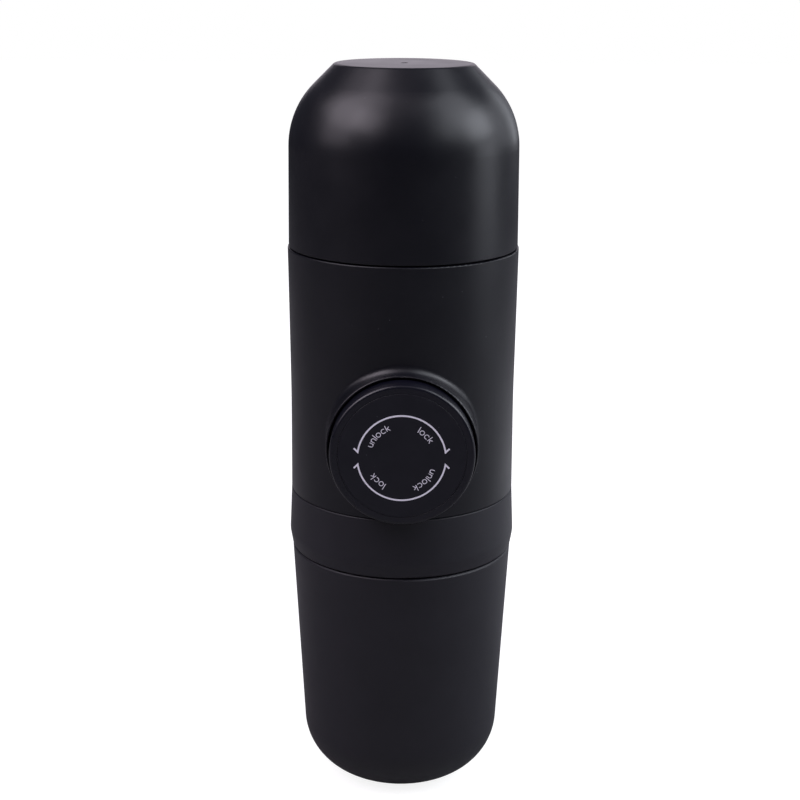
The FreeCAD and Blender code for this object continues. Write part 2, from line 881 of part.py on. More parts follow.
def piston_head():
    """Piston that turns freely on the rod's pin, grooved for two seal rings."""
    outer_r = bore_r - 2 * slip
    groove_r = piston_ring_centre_r() - piston_ring_r - running
    half = piston_ring_r + running
    corners = [(pin_r + running, piston_back), (outer_r, piston_back)]
    for middle in piston_ring_depths():
        corners += [
            (outer_r, middle - half),
            (groove_r, middle - half),
            (groove_r, middle + half),
            (outer_r, middle + half),
        ]
    corners += [(outer_r, piston_front), (pin_r + running, piston_front)]
    return on_pump_axis(revolved(corners))


def piston_ring_centre_r():
    """Radius of a seal ring's middle line."""
    return bore_r - piston_ring_gap - piston_ring_r


def piston_ring_depths():
    """Depths of the two seal rings' middles."""
    middle = (piston_back + piston_front) / 2
    half_spacing = ring_spacing_share * piston_head_length / 2
    return [middle - half_spacing, middle + half_spacing]


def piston_seals():
    """Two seal rings on the piston."""
    centre_r = piston_ring_centre_r()
    rings = [Part.makeTorus(centre_r, piston_ring_r, V(0, 0, depth)) for depth in piston_ring_depths()]
    return Part.makeCompound([on_pump_axis(seal) for seal in rings])


def rod_clip():
    """Clip that keeps the piston on the rod's pin."""
    back = piston_back - running - clip_thickness
    clip = ring(pin_r - pin_groove + running, clip_r, back, back + clip_thickness)
    mouth_width = 2 * (pin_r - pin_groove)
    mouth = block(mouth_width, 0, clip_r + over, back - over, back + clip_thickness + over)
    return on_pump_axis(clip.cut(mouth))


def piston_spring():
    """Spring that pushes the knob out when the lugs are turned free."""
    low = cover_front + spring_end_gap
    high = knob_plate_back - spring_end_gap
    return on_pump_axis(coil("piston_spring", piston_coil_r, piston_wire_r, low, high, piston_coil_turns))


def cylinder_cover():
    """Front cover of the cylinder: rod bearing, seal pocket and the tower with the bayonet gates."""
    body = revolved([
        (rod_seal_r + running, cover_back),
        (cover_r, cover_back),
        (cover_r, cover_front, seam_edge),
        (tower_r, cover_front),
        (tower_r, tower_front),
        (tower_bore_r, tower_front),
        (tower_bore_r, lug_pocket),
        (rod_r + running, lug_pocket),
        (rod_r + running, cover_back + rod_seal_depth),
        (rod_seal_r + running, cover_back + rod_seal_depth),
    ])
    ledge_angle = 180.0 - gate_angle
    ledge = revolved([
        (stop_ring_bore_r, ledge_back),
        (tower_bore_r + slip, ledge_back),
        (tower_bore_r + slip, ledge_back + ledge_thickness),
        (stop_ring_bore_r, ledge_back + ledge_thickness),
    ], ledge_angle)
    first = lug_angle / 2 + lug_side_gap + knob_twist
    body = body.fuse(spread(ledge, 2, first))
    hole = rod(cover_screw_r + running, cover_back - over, cover_front + over, cover_screw_circle_r)
    return on_pump_axis(body.cut(spread(hole, cover_screw_count, 45)))


def stop_ring():
    """Ring on the end of the tower that stops the lugs at full travel."""
    return on_pump_axis(ring(stop_ring_bore_r, tower_r, tower_front, tower_front + stop_ring_thickness))


def rod_seal():
    """Seal around the rod, in the cover's pocket."""
    low = cover_back + running
    high = cover_back + rod_seal_depth - running
    return on_pump_axis(ring(rod_r + running, rod_seal_r, low, high))


def cover_screws():
    """Four screws that hold the cylinder's cover."""
    one = screw(cover_screw_r, cover_screw_length, cover_screw_head_r, cover_screw_head, cover_front)
    one.translate(V(cover_screw_circle_r, 0, 0))
    return Part.makeCompound([on_pump_axis(copy) for copy in spread(one, cover_screw_count, 45)])


def cylinder_liner():
    """Steel sleeve that the piston runs in."""
    return on_pump_axis(ring(bore_r, bore_r + liner_wall, cylinder_end, cover_back))


def pump_housing():
    """Moulded chassis: cylinder barrel, valve column, base disc, posts and ribs in one piece."""
    barrel = on_pump_axis(rod(barrel_r, barrel_end, cover_back))
    flange = on_pump_axis(rod(cover_r, cover_back - flange_depth, cover_back))
    column = rod(column_r, ring_top_z, chamber_bottom_z, 0, column_y)
    body = rod(insert_r, ring_top_z, ring_top_z + base_disc_height).fuse([barrel, flange, column])
    bridge_low = pump_axis_z - column_r
    bridge_high = pump_axis_z + column_r
    bridge = block(2 * column_r, -barrel_end - barrel_end_wall, column_y, bridge_low, bridge_high)
    body = body.fuse(bridge)
    body = body.fuse(block(rib_thickness, flange_depth - cover_back, column_y, ring_top_z, pump_axis_z))
    for x, y in post_places():
        body = body.fuse([rod(post_r, ring_top_z, chamber_bottom_z, x, y), post_rib(x, y)])
    body = body.cut(on_pump_axis(rod(bore_r + liner_wall + running, cylinder_end, cover_back + over)))
    body = body.cut(on_pump_axis(rod(collar_r + seat_gap, well_back - seat_gap, collar_front)))
    body = body.cut(column_bore())
    for x, y in post_places():
        body = body.cut(rod(tie_screw_r + running, ring_top_z - over, chamber_bottom_z + over, x, y))
    hole_end = cover_front - cover_screw_length - cover_screw_spare
    hole = rod(cover_screw_r + running, hole_end, cover_back + over, cover_screw_circle_r)
    body = body.cut([on_pump_axis(copy) for copy in spread(hole, cover_screw_count, 45)])
    return body.removeSplitter()


def post_rib(x, y):
    """Rib that ties a post to the barrel, or to the valve column behind it."""
    target_x = math.copysign(barrel_r - rib_bury, x)
    if y > 0:
        target_x = 0.0
    low = ring_top_z
    high = pump_axis_z
    start = V(x, y - rib_thickness / 2, low)
    corner = V(target_x, y - rib_thickness / 2, low)
    width = abs(start.x - corner.x)
    return Part.makeBox(width, rib_thickness, high - low, V(min(start.x, corner.x), start.y, low))


def column_bore():
    """Everything bored out of the valve column, and the port to the cylinder."""
    inlet = rod(valve_bore_r, ring_top_z - over, inlet_bore_top_z, 0, column_y)
    passage = rod(port_r, inlet_bore_top_z - over, delivery_seat_z + over, 0, column_y)
    delivery = rod(valve_bore_r, delivery_seat_z, chamber_bottom_z + over, 0, column_y)
    port = Part.makeCylinder(port_r, column_y + cylinder_end, V(0, -cylinder_end, pump_axis_z), V(0, 1, 0))
    return inlet.fuse([passage, delivery, port])


def inlet_valve_seat():
    """Bush with the hole that the inlet ball closes."""
    seat = ring(port_r, valve_bore_r - running, valve_seat_z, valve_seat_z + valve_seat_height)
    seat.translate(V(0, column_y, 0))
    return seat


def ball_centre(edge_z):
    """Height of a ball that lies on a hole's edge."""
    return edge_z + math.sqrt(valve_ball_r ** 2 - port_r ** 2) + ball_gap


def valve_ball(edge_z):
    """Steel ball on the edge of a valve's hole."""
    return Part.makeSphere(valve_ball_r, V(0, column_y, ball_centre(edge_z)))


def valve_spring(name, edge_z, top_z):
    """Small spring that holds a ball on its seat."""
    low = ball_centre(edge_z) + valve_ball_r + ball_gap
    turns = max(1.0, math.floor(2 * (top_z - ball_gap - low) / valve_coil_pitch) / 2)
    spring = coil(name, valve_coil_r, valve_wire_r, low, top_z - ball_gap, turns)
    spring.translate(V(0, column_y, 0))
    return spring


def inlet_ball():
    """Ball of the inlet valve, which lets water in from the tank."""
    return valve_ball(valve_seat_z + valve_seat_height)


def inlet_spring():
    """Spring of the inlet valve."""
    return valve_spring("inlet_spring", valve_seat_z + valve_seat_height, inlet_bore_top_z)


def delivery_ball():
    """Ball of the delivery valve, which lets water out to the coffee."""
    return valve_ball(delivery_seat_z)


def delivery_spring():
    """Spring of the delivery valve."""
    return valve_spring("delivery_spring", delivery_seat_z, delivery_plug_z)


def delivery_plug():
    """Drilled plug that carries the delivery spring."""
    plug = ring(port_r, valve_bore_r - running, delivery_plug_z, delivery_plug_z + delivery_plug_height)
    plug.translate(V(0, column_y, 0))
    return plug


def base_plate():
    """Plate that closes the chassis below and clamps the ring's flange."""
    spigot_r = ring_flange_bore_r - slip
    body = revolved([
        (0, plate_bottom_z),
        (plate_r, plate_bottom_z, seam_edge),
        (plate_r, ring_flange_z),
        (spigot_r, ring_flange_z),
        (spigot_r, ring_top_z),
        (0, ring_top_z),
    ])
    body = body.cut(rod(tube_r + slip, plate_bottom_z - over, ring_top_z + over, 0, column_y))
    body = body.cut(rod(vent_stem_r + running, plate_bottom_z - over, ring_top_z + over, 0, vent_y))
    for x, y in post_places():
        body = body.cut(rod(tie_screw_r + running, plate_bottom_z - over, ring_top_z + over, x, y))
    return body


def vent_valve():
    """Soft one-way valve that lets air into the tank."""
    flap_top = plate_bottom_z - seat_gap
    valve = revolved([
        (0, flap_top - vent_flap),
        (vent_stem_r, flap_top - vent_flap),
        (vent_flap_r, flap_top - vent_flap / 2),
        (vent_flap_r, flap_top),
        (vent_stem_r, flap_top),
        (vent_stem_r, ring_top_z - slip),
        (0, ring_top_z - slip),
    ])
    valve.translate(V(0, vent_y, 0))
    return valve


def tie_screws():
    """Four long screws that hold base plate, ring, housing and chamber together."""
    length = chamber_bottom_z + tie_screw_reach - slip - plate_bottom_z
    one = screw(tie_screw_r, length, tie_screw_head_r, tie_screw_head)
    one.rotate(V(0, 0, 0), V(1, 0, 0), 180)
    screws = []
    for x, y in post_places():
        copy = one.copy()
        copy.translate(V(x, y, plate_bottom_z))
        screws.append(copy)
    return Part.makeCompound(screws)


def intake_tube():
    """Tube that draws water from the bottom of the tank."""
    top_z = valve_seat_z
    tube = revolved([
        (tube_r - tube_wall, tube_bottom_z),
        (tube_r, tube_bottom_z),
        (tube_r, top_z - tube_collar),
        (tube_collar_r, top_z - tube_collar),
        (tube_collar_r, top_z),
        (tube_r - tube_wall, top_z),
    ])
    tube.translate(V(0, column_y, 0))
    return tube


def intake_strainer():
    """Slotted cap on the end of the intake tube."""
    inner_r = tube_r + slip
    top_z = strainer_z + strainer_height
    floor_top = tube_bottom_z - seat_gap
    cap = revolved([
        (0, strainer_z),
        (strainer_r, strainer_z, seam_edge),
        (strainer_r, top_z, seam_edge),
        (inner_r, top_z),
        (inner_r, floor_top),
        (0, floor_top),
    ])
    slot_corner = V(strainer_slot, -strainer_slot / 2, strainer_z - over)
    slot = Part.makeBox(strainer_r + over, strainer_slot, strainer_floor + 2 * over, slot_corner)
    cap = cap.cut(spread(slot, strainer_slots))
    cap.translate(V(0, column_y, 0))
    return cap


nodes = [
    cup, body_shell, grip_ring, water_tank, tank_gasket,
    brew_chamber, cup_o_ring, shower_screen, shower_screw, chamber_gasket,
    filter_basket, scoop, outlet_head, head_gasket, outlet_spout, outlet_cap,
    knob_cap, knob_face_disc, knob_screw, piston_rod, piston_head, piston_seals, rod_clip, piston_spring,
    cylinder_cover, stop_ring, rod_seal, cover_screws, cylinder_liner, pump_housing,
    inlet_valve_seat, inlet_ball, inlet_spring, delivery_ball, delivery_spring, delivery_plug,
    base_plate, vent_valve, tie_screws, intake_tube, intake_strainer,
]

os.makedirs("parts", exist_ok=True)
for build_node in nodes:
    build_node().exportStep(os.path.join("parts", build_node.__name__ + ".step"))
print("tank travel, mm:", round(tank_travel, 2), "head travel, mm:", round(head_travel, 2))
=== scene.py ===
import bpy
import json
import math
from mathutils import Matrix, Vector


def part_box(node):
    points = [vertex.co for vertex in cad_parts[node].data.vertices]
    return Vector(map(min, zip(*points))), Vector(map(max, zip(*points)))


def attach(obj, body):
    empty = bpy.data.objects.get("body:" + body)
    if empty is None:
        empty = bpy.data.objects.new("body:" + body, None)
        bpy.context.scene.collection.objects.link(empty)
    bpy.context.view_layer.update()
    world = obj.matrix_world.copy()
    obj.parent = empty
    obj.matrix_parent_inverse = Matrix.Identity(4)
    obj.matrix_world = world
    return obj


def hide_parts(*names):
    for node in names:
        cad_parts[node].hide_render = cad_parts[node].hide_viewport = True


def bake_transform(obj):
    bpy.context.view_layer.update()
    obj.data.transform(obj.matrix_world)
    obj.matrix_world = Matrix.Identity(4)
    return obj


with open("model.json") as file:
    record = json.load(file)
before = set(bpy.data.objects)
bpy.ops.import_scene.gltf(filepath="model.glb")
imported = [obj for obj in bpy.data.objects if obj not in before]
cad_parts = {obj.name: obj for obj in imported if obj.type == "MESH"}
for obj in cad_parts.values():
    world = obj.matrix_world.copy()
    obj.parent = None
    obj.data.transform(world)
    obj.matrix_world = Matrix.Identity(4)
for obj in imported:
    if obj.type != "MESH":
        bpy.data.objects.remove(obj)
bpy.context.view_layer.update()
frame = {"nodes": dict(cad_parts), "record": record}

# Looks of the handheld espresso maker, in metres: +Z is up and the knob faces -Y.
mm = 0.001

# Materials: part of the noise range that is used, lumps of uneven gloss, and swings of roughness
noise_low = 0.3
noise_high = 0.7
moulded_lump = 14 * mm
brushed_lump = 8 * mm
brushed_line = 0.15 * mm
moulded_swing = 0.03
brushed_swing = 0.06

# Dust on the cup, the casing and the knob
dust_r = 0.09 * mm
dust_colour = (0.16, 0.16, 0.18, 1)

# Camera, in the frame of the part
camera_place = (-0.00067, -0.4373, 0.2463)
camera_pitch = 16.42
camera_roll = 0.34
focal_length = 69.46
sensor_width = 36.0

# Studio
lamp_aim = (0, 0, 0.13)
lamp_distance = 0.9
left_light = (0.98, 0.89, 1.0)
right_light = (0.89, 0.92, 1.0)
room_light = (0.055, 0.057, 0.07)
floor_shade = 0.26
floor_reach = 3.0
floor_glow_near = 0.15
floor_glow_far = 0.5
floor_glow_under = 0.86
floor_lamp_place = (0.27, 0.17, 0.1)
floor_lamp_size = 0.22
floor_lamp_power = 0.45

# Pump axis, knob's face and springs, as in the part
pump_axis_z = 113.8 * mm
knob_face_y = -41.68 * mm
spring_coil_r = 11.6 * mm
spring_wire_r = 0.6 * mm
spring_turns = 6
spring_back_y = -17.3 * mm
spring_front_y = -38.1 * mm
valve_axis_y = 18.5 * mm
valve_coil_r = 1.5 * mm
valve_wire_r = 0.25 * mm
valve_turns = 4

# Fineness of the coils
steps_per_turn = 40
wire_sides = 12

# Print on the knob's face
print_thickness = 0.01 * mm
print_layers = 3
print_off_x = -0.15 * mm
print_off_z = -0.55 * mm
arc_r = 12.0 * mm
arc_stroke = 0.46 * mm
arc_gap_angle = 8.4
arc_steps = 60
barb_length = 1.5 * mm
barb_angle = 45.0
word_base_r = 8.5 * mm
letter_height = 1.2 * mm
letter_stem = 1.8 * mm
letter_stroke = 0.2 * mm
letter_space = 0.3 * mm
shoulder_steps = 20
bowl_steps = 32
open_bowl_steps = 28
bowl_opening = 45
word_angle = 45.0


def link(piece):
    """Puts an object in the scene."""
    bpy.context.scene.collection.objects.link(piece)
    return piece


# Node materials


def new_material(name):
    """Empty node material and its main shader."""
    material = bpy.data.materials.new(name)
    material.use_nodes = True
    return material, material.node_tree.nodes["Principled BSDF"]


def add(material, kind, inputs=None, **settings):
    """New node with its settings and its unlinked inputs."""
    node = material.node_tree.nodes.new(kind)
    for key, value in settings.items():
        setattr(node, key, value)
    for key, value in (inputs or {}).items():
        node.inputs[key].default_value = value
    return node


def join(material, source, target):
    """Links an output socket to an input socket."""
    material.node_tree.links.new(source, target)


def noise(material, size, detail=3.0, stretch=(1.0, 1.0, 1.0)):
    """Noise whose lumps are about this size, in metres, fixed to the piece."""
    place = add(material, "ShaderNodeTexCoord")
    mapping = add(material, "ShaderNodeMapping", {"Scale": stretch})
    texture = add(material, "ShaderNodeTexNoise", {"Scale": 1 / size, "Detail": detail})
    join(material, place.outputs["Object"], mapping.inputs["Vector"])
    join(material, mapping.outputs["Vector"], texture.inputs["Vector"])
    return texture.outputs["Fac"]


def between(material, source, low, high):
    """Maps a noise to a range of values."""
    ends = {"From Min": noise_low, "From Max": noise_high, "To Min": low, "To Max": high}
    span = add(material, "ShaderNodeMapRange", ends)
    join(material, source, span.inputs["Value"])
    return span.outputs["Result"]


def tinted(material, source, dark, light):
    """Blends two colours by a noise."""
    ramp = add(material, "ShaderNodeValToRGB")
    ramp.color_ramp.elements[0].position = noise_low
    ramp.color_ramp.elements[0].color = (*dark, 1)
    ramp.color_ramp.elements[1].position = noise_high
    ramp.color_ramp.elements[1].color = (*light, 1)
    join(material, source, ramp.inputs["Fac"])
    return ramp.outputs["Color"]


def bumped(material, shader, source, depth):
    """Fine relief that follows a noise, this deep in metres."""
    bump = add(material, "ShaderNodeBump", {"Strength": 1.0, "Distance": depth})
    join(material, source, bump.inputs["Height"])
    join(material, bump.outputs["Normal"], shader.inputs["Normal"])


def dusted(material, colour, spacing):
    """Adds pale specks of dust, this far from each other on average."""
    place = add(material, "ShaderNodeTexCoord")
    cells = add(material, "ShaderNodeTexVoronoi", {"Scale": 1 / spacing})
    join(material, place.outputs["Object"], cells.inputs["Vector"])
    near = dust_r / spacing
    speck = add(material, "ShaderNodeMapRange", {"From Min": near, "From Max": near / 2})
    join(material, cells.outputs["Distance"], speck.inputs["Value"])
    mix = add(material, "ShaderNodeMix", data_type="RGBA")
    join(material, speck.outputs["Result"], mix.inputs["Factor"])
    join(material, colour, mix.inputs["A"])
    mix.inputs["B"].default_value = dust_colour
    return mix.outputs["Result"]


def moulded(name, dark, light, roughness, specular, grain, grain_depth, dust_spacing=None):
    """Moulded plastic: a fine spark texture, slow changes of gloss and a slightly uneven colour."""
    material, shader = new_material(name)
    fine = noise(material, grain)
    slow = noise(material, moulded_lump, detail=2.0)
    colour = tinted(material, slow, dark, light)
    if dust_spacing:
        colour = dusted(material, colour, dust_spacing)
    join(material, colour, shader.inputs["Base Color"])
    gloss = between(material, slow, roughness - moulded_swing, roughness + moulded_swing)
    join(material, gloss, shader.inputs["Roughness"])
    shader.inputs["Specular IOR Level"].default_value = specular
    bumped(material, shader, fine, grain_depth)
    return material


def satin_black():
    """Satin black plastic of the cup and the casing."""
    dark = (0.0026, 0.0027, 0.0048)
    light = (0.0036, 0.0037, 0.006)
    return moulded(
        "satin_black",
        dark,
        light,
        roughness=0.35,
        specular=0.3,
        grain=0.35 * mm,
        grain_depth=0.004 * mm,
        dust_spacing=3.6 * mm,
    )


def matte_black():
    """Matte black plastic of the ring and the tank."""
    dark = (0.0068, 0.0064, 0.0098)
    light = (0.0088, 0.0084, 0.0122)
    return moulded(
        "matte_black",
        dark,
        light,
        roughness=0.48,
        specular=0.3,
        grain=0.3 * mm,
        grain_depth=0.01 * mm,
    )


def knob_black():
    """Satin black plastic of the knob."""
    dark = (0.0026, 0.0026, 0.006)
    light = (0.0034, 0.0034, 0.0075)
    return moulded(
        "knob_black",
        dark,
        light,
        roughness=0.28,
        specular=0.34,
        grain=0.3 * mm,
        grain_depth=0.004 * mm,
        dust_spacing=3.0 * mm,
    )


def knob_face():
    """Sheet let into the knob's face, less glossy than the knob, with a few dust specks."""
    material, shader = new_material("knob_face")
    fine = noise(material, size=0.25 * mm)
    slow = noise(material, size=6 * mm)
    dark = (0.0042, 0.0042, 0.0078)
    light = (0.0055, 0.0055, 0.0095)
    colour = dusted(material, tinted(material, slow, dark, light), spacing=2.6 * mm)
    join(material, colour, shader.inputs["Base Color"])
    join(material, between(material, slow, low=0.42, high=0.5), shader.inputs["Roughness"])
    shader.inputs["Specular IOR Level"].default_value = 0.27
    bumped(material, shader, fine, depth=0.003 * mm)
    return material


def print_white():
    """Pale pad print, slightly uneven."""
    material, shader = new_material("print_white")
    fine = noise(material, size=0.12 * mm)
    dark = (0.62, 0.6, 0.68)
    light = (0.7, 0.68, 0.76)
    join(material, tinted(material, fine, dark, light), shader.inputs["Base Color"])
    shader.inputs["Roughness"].default_value = 0.5
    bumped(material, shader, fine, depth=0.002 * mm)
    return material


def dark_plastic():
    """Dark plastic of the brew chamber, the outlet head and its cap, the scoop and small pieces."""
    dark = (0.02, 0.02, 0.022)
    light = (0.027, 0.027, 0.03)
    return moulded(
        "dark_plastic",
        dark,
        light,
        roughness=0.5,
        specular=0.4,
        grain=0.5 * mm,
        grain_depth=0.012 * mm,
    )


def grey_plastic():
    """Grey plastic of the pump's housing, its cover and the base plate."""
    dark = (0.17, 0.17, 0.18)
    light = (0.21, 0.21, 0.22)
    return moulded(
        "grey_plastic",
        dark,
        light,
        roughness=0.42,
        specular=0.5,
        grain=0.4 * mm,
        grain_depth=0.006 * mm,
    )


def seal_rubber():
    """Silicone of the gaskets, the seals and the vent valve."""
    dark = (0.028, 0.028, 0.03)
    light = (0.036, 0.036, 0.039)
    return moulded(
        "seal_rubber",
        dark,
        light,
        roughness=0.62,
        specular=0.35,
        grain=0.2 * mm,
        grain_depth=0.008 * mm,
    )


def brushed(name, dark, light, roughness, stretch):
    """Metal with a fine grain, which the stretch can draw out into lines."""
    material, shader = new_material(name)
    lines = noise(material, brushed_line, stretch=stretch)
    slow = noise(material, brushed_lump)
    join(material, tinted(material, slow, dark, light), shader.inputs["Base Color"])
    gloss = between(material, lines, roughness - brushed_swing, roughness + brushed_swing)
    join(material, gloss, shader.inputs["Roughness"])
    shader.inputs["Metallic"].default_value = 1.0
    bumped(material, shader, lines, depth=0.002 * mm)
    return material


def steel():
    """Brushed stainless steel."""
    dark = (0.5, 0.5, 0.51)
    light = (0.6, 0.6, 0.61)
    return brushed("steel", dark, light, roughness=0.3, stretch=(1.0, 1.0, 12.0))


def spring_steel():
    """Drawn spring wire."""
    dark = (0.42, 0.42, 0.43)
    light = (0.52, 0.52, 0.53)
    return brushed("spring_steel", dark, light, roughness=0.26, stretch=(1.0, 1.0, 1.0))


def brass():
    """Turned brass."""
    dark = (0.6, 0.42, 0.18)
    light = (0.7, 0.5, 0.22)
    return brushed("brass", dark, light, roughness=0.3, stretch=(1.0, 1.0, 12.0))


def clear_tube():
    """Milky clear tube."""
    material, shader = new_material("clear_tube")
    slow = noise(material, size=5 * mm)
    dark = (0.78, 0.8, 0.82)
    light = (0.86, 0.88, 0.9)
    join(material, tinted(material, slow, dark, light), shader.inputs["Base Color"])
    join(material, between(material, slow, low=0.2, high=0.3), shader.inputs["Roughness"])
    shader.inputs["Transmission Weight"].default_value = 0.7
    shader.inputs["IOR"].default_value = 1.42
    bumped(material, shader, slow, depth=0.02 * mm)
    return material


def dress_nodes():
    """Gives every node of the part the material of its slot."""
    made = {
        "satin_black": satin_black(),
        "matte_black": matte_black(),
        "knob_black": knob_black(),
        "knob_face": knob_face(),
        "dark_plastic": dark_plastic(),
        "grey_plastic": grey_plastic(),
        "seal_rubber": seal_rubber(),
        "steel": steel(),
        "spring_steel": spring_steel(),
        "brass": brass(),
        "clear_tube": clear_tube(),
    }
    for part in frame["record"]["subparts"]:
        node = frame["nodes"][part["node"]]
        node.data.materials.clear()
        node.data.materials.append(made[part["material_slot"]])
    return made


# Print on the knob


def arc_points(centre_u, centre_v, radius, first, last, steps):
    """Points of an arc in the print's plane, angles in degrees from +u towards +v."""
    points = []
    for step in range(steps + 1):
        angle = math.radians(first + (last - first) * step / steps)
        points.append((centre_u + radius * math.cos(angle), centre_v + radius * math.sin(angle)))
    return points


def letters():
    """Strokes of each letter on a baseline at v = 0, and the letter's width."""
    bowl = letter_height / 2
    shoulder = letter_height * 0.4
    arch = arc_points(shoulder, letter_height - shoulder, shoulder, 180, 0, shoulder_steps)
    cup_arc = arc_points(shoulder, shoulder, shoulder, 180, 360, shoulder_steps)
    stem = [(0, 0), (0, letter_stem)]
    short_stem = [(0, 0), (0, letter_height)]
    right = 2 * shoulder
    cup_line = [(0, letter_height)] + cup_arc + [(right, letter_height)]
    right_leg = [(right, shoulder), (right, 0)]
    closed_bowl = arc_points(bowl, bowl, bowl, 0, 360, bowl_steps)
    open_bowl = arc_points(bowl, bowl, bowl, bowl_opening, 360 - bowl_opening, open_bowl_steps)
    open_bowl_width = 2 * bowl * 0.88
    arm_start = (0, bowl * 0.85)
    arm_end = (bowl * 1.45, letter_height)
    leg_start = (bowl * 0.5, bowl * 1.2)
    leg_reach = bowl * 1.55
    return {
        "u": ([cup_line, right_leg], right),
        "n": ([short_stem, arch + [(right, 0)]], right),
        "l": ([stem], 0.0),
        "o": ([closed_bowl], 2 * bowl),
        "c": ([open_bowl], open_bowl_width),
        "k": ([stem, [arm_start, arm_end], [leg_start, (leg_reach, 0)]], leg_reach),
    }


def word_strokes(word, middle_angle):
    """Strokes of a word laid along the inside of the arc, its feet towards the centre."""
    glyphs = letters()
    width = sum(glyphs[letter][1] for letter in word)
    width = width + letter_space * (len(word) - 1) + letter_stroke * len(word)
    reading_r = word_base_r + letter_height / 2
    strokes = []
    start = letter_stroke / 2
    for letter in word:
        lines, advance = glyphs[letter]
        for line in lines:
            bent = []
            for u, v in line:
                angle = math.radians(middle_angle) - (start + u - width / 2) / reading_r
                bent.append(((word_base_r + v) * math.cos(angle), (word_base_r + v) * math.sin(angle)))
            strokes.append((bent, letter_stroke))
        start += advance + letter_stroke + letter_space
    return strokes


def half_print():
    """Upper half of the print: an arc with a barb at each end, and the two words under it."""
    first = arc_gap_angle
    last = 180 - arc_gap_angle
    curve = arc_points(0, 0, arc_r, first, last, arc_steps)
    aside = barb_length * math.cos(math.radians(barb_angle))
    up = barb_length * math.sin(math.radians(barb_angle))
    right_barb = (curve[0][0] + aside, curve[0][1] + up)
    left_barb = (curve[-1][0] - aside, curve[-1][1] + up)
    strokes = [([right_barb] + curve + [left_barb], arc_stroke)]
    strokes += word_strokes("unlock", 90 + word_angle)
    strokes += word_strokes("lock", 90 - word_angle)
    return strokes


def mitre(back, ahead, half):
    """Sideways step from a bend in a line to its left edge; both directions have length 1."""
    left = Vector((-ahead.y, ahead.x))
    bisector = (Vector((-back.y, back.x)) + left).normalized()
    return bisector * (half / bisector.dot(left))


def ribbon(points, stroke):
    """Corners and faces of a flat line of this width, mitred at its bends."""
    vertices = []
    faces = []
    places = [Vector(point) for point in points]
    runs = [(places[index + 1] - places[index]).normalized() for index in range(len(places) - 1)]
    closed = (places[0] - places[-1]).length < stroke / 10
    before_first = runs[-1] if closed else runs[0]
    after_last = runs[0] if closed else runs[-1]
    for index, place in enumerate(places):
        back = runs[index - 1] if index > 0 else before_first
        ahead = runs[index] if index < len(runs) else after_last
        side = mitre(back, ahead, stroke / 2)
        vertices += [place + side, place - side]
        if index > 0:
            base = len(vertices) - 4
            faces.append((base, base + 1, base + 3, base + 2))
    return vertices, faces


def knob_print(material):
    """Pale marks on the knob's face: two turn arrows with a word at each end."""
    placed = []
    faces = []
    for turn in (0, 180):
        spin = Matrix.Rotation(math.radians(turn), 2)
        for number, (points, stroke) in enumerate(half_print()):
            vertices, corners = ribbon([spin @ Vector(point) for point in points], stroke)
            base = len(placed)
            faces += [tuple(base + corner for corner in face) for face in corners]
            front = knob_face_y - print_thickness * (1 + number % print_layers)
            placed += [(v.x + print_off_x, front, v.y + pump_axis_z + print_off_z) for v in vertices]
    mesh = bpy.data.meshes.new("knob_print")
    mesh.from_pydata(placed, [], faces)
    mesh.materials.append(material)
    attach(link(bpy.data.objects.new("knob_print", mesh)), "knob")


def coil(material, node, coil_r, wire_r, turns, fixed_end, free_end):
    """Coil spring in place of a node, from its fixed end to the end that goes with a moving body."""
    steps = steps_per_turn * turns
    run = Vector(free_end) - Vector(fixed_end)
    ahead = run.normalized()
    first = Vector(fixed_end) + ahead * wire_r
    climb = ahead * (run.length - 2 * wire_r) / steps
    across = ahead.orthogonal().normalized()
    aside = ahead.cross(across)
    vertices = []
    faces = []
    for step in range(steps + 1):
        turn = 2 * math.pi * turns * step / steps
        out = across * math.cos(turn) + aside * math.sin(turn)
        for corner in range(wire_sides):
            angle = 2 * math.pi * corner / wire_sides
            radius = coil_r + wire_r * math.cos(angle)
            vertices.append(first + climb * step + out * radius + ahead * (wire_r * math.sin(angle)))
            if step < steps:
                base = step * wire_sides + corner
                following = step * wire_sides + (corner + 1) % wire_sides
                faces.append((base, base + wire_sides, following + wire_sides, following))
    faces.append(tuple(range(wire_sides)))
    faces.append(tuple(reversed(range(steps * wire_sides, (steps + 1) * wire_sides))))
    mesh = bpy.data.meshes.new(node + "_wire")
    mesh.from_pydata(vertices, [], faces)
    mesh.polygons.foreach_set("use_smooth", [True] * len(mesh.polygons))
    mesh.materials.append(material)
    spring = link(bpy.data.objects.new(node + "_wire", mesh))
    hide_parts(node)
    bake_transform(spring)


def springs(material):
    """The piston's spring, built at one length though it stretches as the knob comes out, and the two
    valve springs.
    """
    back = (0, spring_back_y, pump_axis_z)
    front = (0, spring_front_y, pump_axis_z)
    coil(material, "piston_spring", spring_coil_r, spring_wire_r, spring_turns, back, front)
    for node, ball in (("inlet_spring", "inlet_ball"), ("delivery_spring", "delivery_ball")):
        low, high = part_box(node)
        top = (0, valve_axis_y, high[2])
        bottom = (0, valve_axis_y, low[2])
        coil(material, node, valve_coil_r, valve_wire_r, valve_turns, top, bottom)


# Studio


def camera():
    """Camera at the photograph's place and angle."""
    data = bpy.data.cameras.new("camera")
    data.sensor_width = sensor_width
    data.lens = focal_length
    piece = link(bpy.data.objects.new("camera", data))
    tilt = Matrix.Rotation(math.radians(90 - camera_pitch), 4, "X")
    roll = Matrix.Rotation(math.radians(camera_roll), 4, "Z")
    piece.matrix_world = Matrix.Translation(camera_place) @ tilt @ roll
    bpy.context.scene.camera = piece


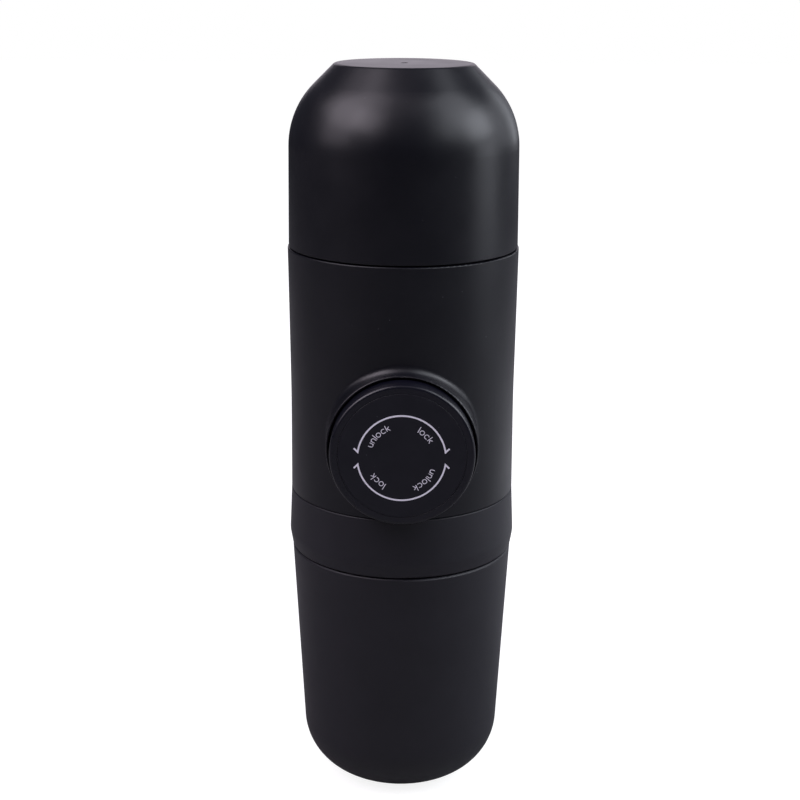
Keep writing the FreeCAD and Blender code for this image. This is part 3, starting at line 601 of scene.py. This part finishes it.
def softbox(name, light, azimuth, elevation, width, height, power):
    """Soft rectangular lamp on a sphere around the object; azimuth runs from the front to the right."""
    turn = math.radians(azimuth)
    lift = math.radians(elevation)
    away = Vector((math.sin(turn) * math.cos(lift), -math.cos(turn) * math.cos(lift), math.sin(lift)))
    data = bpy.data.lights.new(name, "AREA")
    data.shape = "RECTANGLE"
    data.size = width
    data.size_y = height
    data.energy = power
    data.color = light
    piece = link(bpy.data.objects.new(name, data))
    piece.location = Vector(lamp_aim) + away * lamp_distance
    piece.rotation_euler = (-away).to_track_quat("-Z", "Y").to_euler()


def floor_lamp():
    """Low lamp that faces the floor behind the right side and brightens the lower right edge."""
    data = bpy.data.lights.new("floor_lamp", "AREA")
    data.size = floor_lamp_size
    data.energy = floor_lamp_power
    data.color = right_light
    piece = link(bpy.data.objects.new("floor_lamp", data))
    piece.location = floor_lamp_place


def floor():
    """Grey floor that looks white to the camera and keeps the shadow."""
    mesh = bpy.data.meshes.new("floor")
    corners = [(x * floor_reach, y * floor_reach, 0) for x, y in ((-1, -1), (1, -1), (1, 1), (-1, 1))]
    mesh.from_pydata(corners, [], [(0, 1, 2, 3)])
    material, shader = new_material("floor")
    shader.inputs["Base Color"].default_value = (floor_shade, floor_shade, floor_shade, 1)
    shader.inputs["Roughness"].default_value = 0.9
    shader.inputs["Specular IOR Level"].default_value = 0.0
    shader.inputs["Emission Color"].default_value = (1, 1, 1, 1)
    path = add(material, "ShaderNodeLightPath")
    place = add(material, "ShaderNodeTexCoord")
    distance = add(material, "ShaderNodeVectorMath", operation="LENGTH")
    join(material, place.outputs["Object"], distance.inputs[0])
    ends = {"From Min": floor_glow_near, "From Max": floor_glow_far, "To Min": floor_glow_under}
    fade = add(material, "ShaderNodeMapRange", ends)
    join(material, distance.outputs["Value"], fade.inputs["Value"])
    glow = add(material, "ShaderNodeMath", operation="MULTIPLY")
    join(material, path.outputs["Is Camera Ray"], glow.inputs[0])
    join(material, fade.outputs["Result"], glow.inputs[1])
    join(material, glow.outputs[0], shader.inputs["Emission Strength"])
    mesh.materials.append(material)
    piece = link(bpy.data.objects.new("floor", mesh))


def surroundings():
    """White to the camera, and a dim even room to everything else."""
    world = bpy.data.worlds.new("studio")
    world.use_nodes = True
    bpy.context.scene.world = world
    background = world.node_tree.nodes["Background"]
    path = add(world, "ShaderNodeLightPath")
    seen = add(world, "ShaderNodeMix", data_type="RGBA")
    seen.inputs["A"].default_value = (*room_light, 1)
    seen.inputs["B"].default_value = (1, 1, 1, 1)
    join(world, path.outputs["Is Camera Ray"], seen.inputs["Factor"])
    join(world, seen.outputs["Result"], background.inputs["Color"])


def studio():
    """Soft lamps around the object, the brightest at its sides."""
    softbox("left_lamp", left_light, azimuth=-74, elevation=40, width=0.45, height=0.4, power=2.9)
    softbox("left_high_lamp", left_light, azimuth=-70, elevation=64, width=0.4, height=0.35, power=2.0)
    softbox("left_front_lamp", left_light, azimuth=-45, elevation=42, width=0.38, height=0.4, power=2.7)
    softbox("left_back_lamp", left_light, azimuth=-100, elevation=46, width=0.3, height=0.4, power=0.8)
    softbox("left_low_lamp", left_light, azimuth=-72, elevation=18, width=0.5, height=0.22, power=0.9)
    softbox("right_lamp", right_light, azimuth=84, elevation=28, width=0.5, height=0.4, power=5.0)
    softbox("right_high_lamp", right_light, azimuth=76, elevation=54, width=0.55, height=0.4, power=2.8)
    softbox("right_low_lamp", right_light, azimuth=88, elevation=3, width=0.45, height=0.25, power=1.2)
    softbox("right_front_lamp", right_light, azimuth=50, elevation=34, width=0.35, height=0.4, power=1.5)
    softbox("right_back_lamp", right_light, azimuth=114, elevation=18, width=0.3, height=0.5, power=0.7)
    softbox("right_far_lamp", right_light, azimuth=140, elevation=15, width=0.3, height=0.5, power=0.8)
    softbox("front_high_lamp", left_light, azimuth=0, elevation=68, width=0.6, height=0.4, power=0.5)
    softbox("back_lamp", left_light, azimuth=180, elevation=20, width=0.6, height=0.5, power=1.0)


made = dress_nodes()
knob_print(print_white())
springs(made["spring_steel"])
camera()
floor()
floor_lamp()
surroundings()
studio()
bpy.context.scene.view_settings.view_transform = "Standard"
